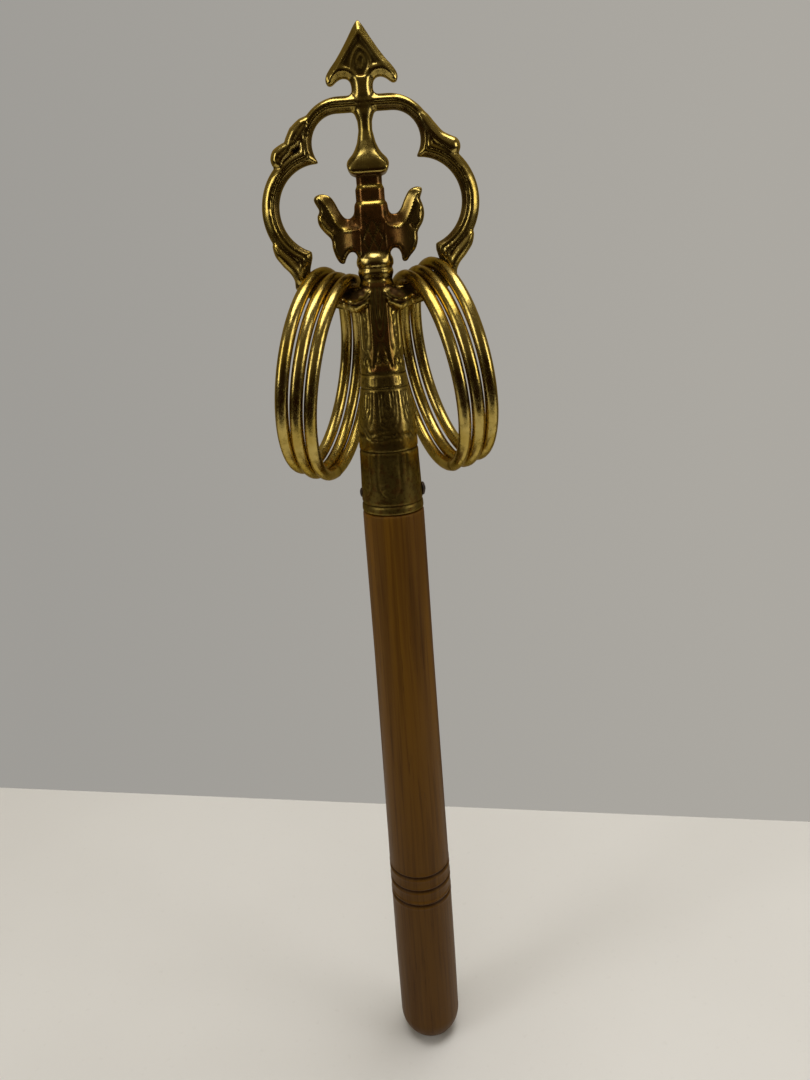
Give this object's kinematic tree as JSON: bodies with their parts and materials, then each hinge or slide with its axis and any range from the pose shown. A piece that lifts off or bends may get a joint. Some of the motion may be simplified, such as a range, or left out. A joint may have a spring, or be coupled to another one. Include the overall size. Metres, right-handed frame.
{
  "type": "ringed hand staff",
  "caption": "Hand-held ringed staff with a cast brass lobed head, loose jingling rings on its lower arms and a turned wooden handle.",
  "frame": {"origin": "middle of the wooden grip, on the staff's axis, 100 mm above the butt's tip", "axes": "+Z along the staff towards the arrow tip, the head's loop lies in the XZ plane, and -Y is the front"},
  "size_m": [0.0578, 0.0555, 0.33],
  "materials": {
    "brass": "polished, darkened in the recesses",
    "wood": "satin, stained brown",
    "iron": "dark"
  },
  "bodies": {
    "staff": {"head_casting": "brass", "handle": "wood", "pin_left": "iron", "pin_right": "iron"},
    "ring_left_inner": {"ring_left_inner": "brass"},
    "ring_left_middle": {"ring_left_middle": "brass"},
    "ring_left_outer": {"ring_left_outer": "brass"},
    "ring_right_inner": {"ring_right_inner": "brass"},
    "ring_right_middle": {"ring_right_middle": "brass"},
    "ring_right_outer": {"ring_right_outer": "brass"}
  },
  "joints": [
    {"name": "ring_left_inner_swing", "type": "hinge", "parent": "staff", "child": "ring_left_inner", "pos_m": [-0.0078, 0, 0.16484], "axis": [-0.949, 0.2632, 0.1736], "range_deg": [-15, 45]},
    {"name": "ring_left_middle_swing", "type": "hinge", "parent": "staff", "child": "ring_left_middle", "pos_m": [-0.0114, 0, 0.16556], "axis": [-0.949, 0.2632, 0.1736], "range_deg": [-33, 45]},
    {"name": "ring_left_outer_swing", "type": "hinge", "parent": "staff", "child": "ring_left_outer", "pos_m": [-0.0149, 0, 0.16711], "axis": [-0.949, 0.2632, 0.1736], "range_deg": [-50, 70]},
    {"name": "ring_right_inner_swing", "type": "hinge", "parent": "staff", "child": "ring_right_inner", "pos_m": [0.0088, 0, 0.16496], "axis": [-0.954, -0.2556, -0.1564], "range_deg": [-15, 38]},
    {"name": "ring_right_middle_swing", "type": "hinge", "parent": "staff", "child": "ring_right_middle", "pos_m": [0.0124, 0, 0.16592], "axis": [-0.954, -0.2556, -0.1564], "range_deg": [-38, 50]},
    {"name": "ring_right_outer_swing", "type": "hinge", "parent": "staff", "child": "ring_right_outer", "pos_m": [0.0159, 0, 0.16778], "axis": [-0.954, -0.2556, -0.1564], "range_deg": [-60, 70]}
  ]
}
